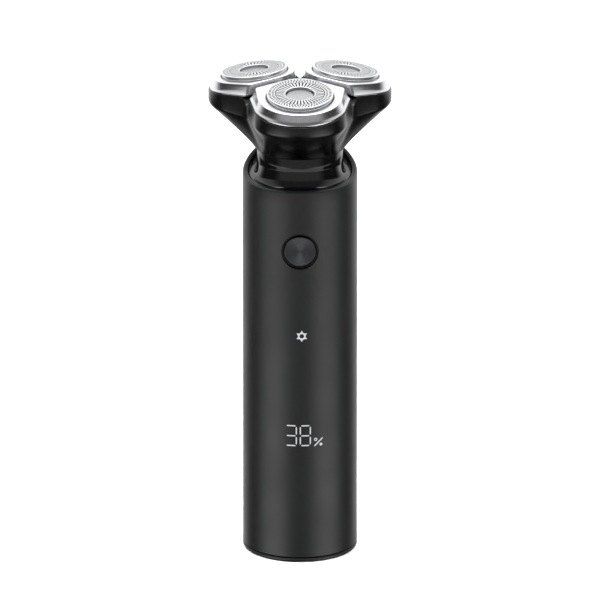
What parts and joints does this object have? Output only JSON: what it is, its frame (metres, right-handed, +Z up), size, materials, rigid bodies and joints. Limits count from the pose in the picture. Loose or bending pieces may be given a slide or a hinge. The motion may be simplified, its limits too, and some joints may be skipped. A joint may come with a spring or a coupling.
{
  "type": "electric shaver",
  "caption": "Cordless rotary shaver: round matte black handle with a power button and lit percentage display, and a lobed head with silver bezels and round shaving caps.",
  "frame": {"origin": "centre of the base's flat underside, on the handle's axis", "axes": "+Z up along the handle's axis towards the shaving head; -Y is the front, with the power button; +X is to the right seen from the front"},
  "size_m": [0.062, 0.0578, 0.1688],
  "materials": {
    "handle_shell": "soft matte black",
    "gloss_trim": "high gloss black",
    "head_black": "gloss black",
    "bezel_silver": "satin silver",
    "cap_steel": "fine ground steel",
    "steel": "plain",
    "button_metal": "spun dark grey",
    "rubber": "matte",
    "inner_plastic": "moulded grey",
    "gear_plastic": "natural acetal",
    "cell_sleeve": "shrink sleeve",
    "board": "solder mask",
    "light_guide": "white diffuser",
    "brass": "plain"
  },
  "bodies": {
    "handle": {"body_shell": "handle_shell", "base_cap": "handle_shell", "base_seal": "rubber", "neck_seal": "rubber", "neck_collar": "gloss_trim", "neck_magnet_ring": "steel", "shaft_seal": "rubber", "button_seal": "rubber", "chassis": "inner_plastic", "motor_bracket": "steel", "bracket_screw_left": "steel", "bracket_screw_right": "steel", "battery_cell": "cell_sleeve", "battery_tab_lower": "steel", "battery_tab_upper": "steel", "circuit_board": "board", "display_module": "light_guide", "status_light": "light_guide", "button_switch": "gloss_trim", "control_chip": "gloss_trim", "charging_socket": "steel", "socket_tongue": "gloss_trim", "motor_can": "steel", "motor_end_cap": "inner_plastic", "motor_bushing": "brass"},
    "button": {"button_cap": "button_metal", "button_plunger": "inner_plastic"},
    "motor_drive": {"motor_rotor": "brass", "motor_shaft": "steel", "drive_coupler": "gear_plastic"},
    "head": {"head_housing": "head_black", "head_deck": "head_black", "head_base": "head_black", "head_steel_ring": "steel", "gear_plate": "inner_plastic", "bezel_front": "bezel_silver", "bezel_right": "bezel_silver", "bezel_left": "bezel_silver", "gear_pin_front": "steel", "gear_pin_right": "steel", "gear_pin_left": "steel"},
    "sun": {"sun_gear": "gear_plastic"},
    "gear_front": {"drive_gear_front": "gear_plastic"},
    "cap_front": {"shaving_cap_front": "cap_steel", "cap_centre_front": "cap_steel"},
    "blade_front": {"cutter_front": "cap_steel", "drive_spindle_front": "gear_plastic"},
    "gear_right": {"drive_gear_right": "gear_plastic"},
    "cap_right": {"shaving_cap_right": "cap_steel", "cap_centre_right": "cap_steel"},
    "blade_right": {"cutter_right": "cap_steel", "drive_spindle_right": "gear_plastic"},
    "gear_left": {"drive_gear_left": "gear_plastic"},
    "cap_left": {"shaving_cap_left": "cap_steel", "cap_centre_left": "cap_steel"},
    "blade_left": {"cutter_left": "cap_steel", "drive_spindle_left": "gear_plastic"}
  },
  "joints": [
    {"name": "power_button_press", "type": "slide", "parent": "handle", "child": "button", "axis": [0, 1, 0], "range_m": [0, 0.0004], "stiffness_N_per_m": 1500},
    {"name": "motor_spin", "type": "hinge", "parent": "handle", "child": "motor_drive", "pos_m": [0, 0, 0.12], "axis": [0, 0, 1], "continuous": true},
    {"name": "head_release", "type": "slide", "parent": "handle", "child": "head", "axis": [0, 0, 1], "range_m": [0, 0.025]},
    {"name": "sun_spin", "type": "hinge", "parent": "head", "child": "sun", "pos_m": [0, 0, 0.155], "axis": [0, 0, 1], "continuous": true},
    {"name": "gear_spin_front", "type": "hinge", "parent": "head", "child": "gear_front", "pos_m": [0, -0.016, 0.1555], "axis": [0, 0, 1], "continuous": true},
    {"name": "cap_float_front", "type": "slide", "parent": "head", "child": "cap_front", "axis": [0, 0.1392, -0.9903], "range_m": [0, 0.001], "stiffness_N_per_m": 900},
    {"name": "cutter_spin_front", "type": "hinge", "parent": "cap_front", "child": "blade_front", "pos_m": [0, -0.0178, 0.1661], "axis": [0, -0.1392, 0.9903], "continuous": true},
    {"name": "gear_spin_right", "type": "hinge", "parent": "head", "child": "gear_right", "pos_m": [0.01386, 0.008, 0.1555], "axis": [0, 0, 1], "continuous": true},
    {"name": "cap_float_right", "type": "slide", "parent": "head", "child": "cap_right", "axis": [-0.1205, -0.0696, -0.9903], "range_m": [0, 0.001], "stiffness_N_per_m": 900},
    {"name": "cutter_spin_right", "type": "hinge", "parent": "cap_right", "child": "blade_right", "pos_m": [0.01541, 0.0089, 0.1661], "axis": [0.1205, 0.0696, 0.9903], "continuous": true},
    {"name": "gear_spin_left", "type": "hinge", "parent": "head", "child": "gear_left", "pos_m": [-0.01386, 0.008, 0.1555], "axis": [0, 0, 1], "continuous": true},
    {"name": "cap_float_left", "type": "slide", "parent": "head", "child": "cap_left", "axis": [0.1205, -0.0696, -0.9903], "range_m": [0, 0.001], "stiffness_N_per_m": 900},
    {"name": "cutter_spin_left", "type": "hinge", "parent": "cap_left", "child": "blade_left", "pos_m": [-0.01541, 0.0089, 0.1661], "axis": [-0.1205, 0.0696, 0.9903], "continuous": true}
  ],
  "couplings": [
    {"joint": "sun_spin", "follows": "motor_spin", "ratio": 1},
    {"joint": "gear_spin_front", "follows": "motor_spin", "ratio": -0.6},
    {"joint": "cutter_spin_front", "follows": "motor_spin", "ratio": -0.6},
    {"joint": "gear_spin_right", "follows": "motor_spin", "ratio": -0.6},
    {"joint": "cutter_spin_right", "follows": "motor_spin", "ratio": -0.6},
    {"joint": "gear_spin_left", "follows": "motor_spin", "ratio": -0.6},
    {"joint": "cutter_spin_left", "follows": "motor_spin", "ratio": -0.6}
  ]
}
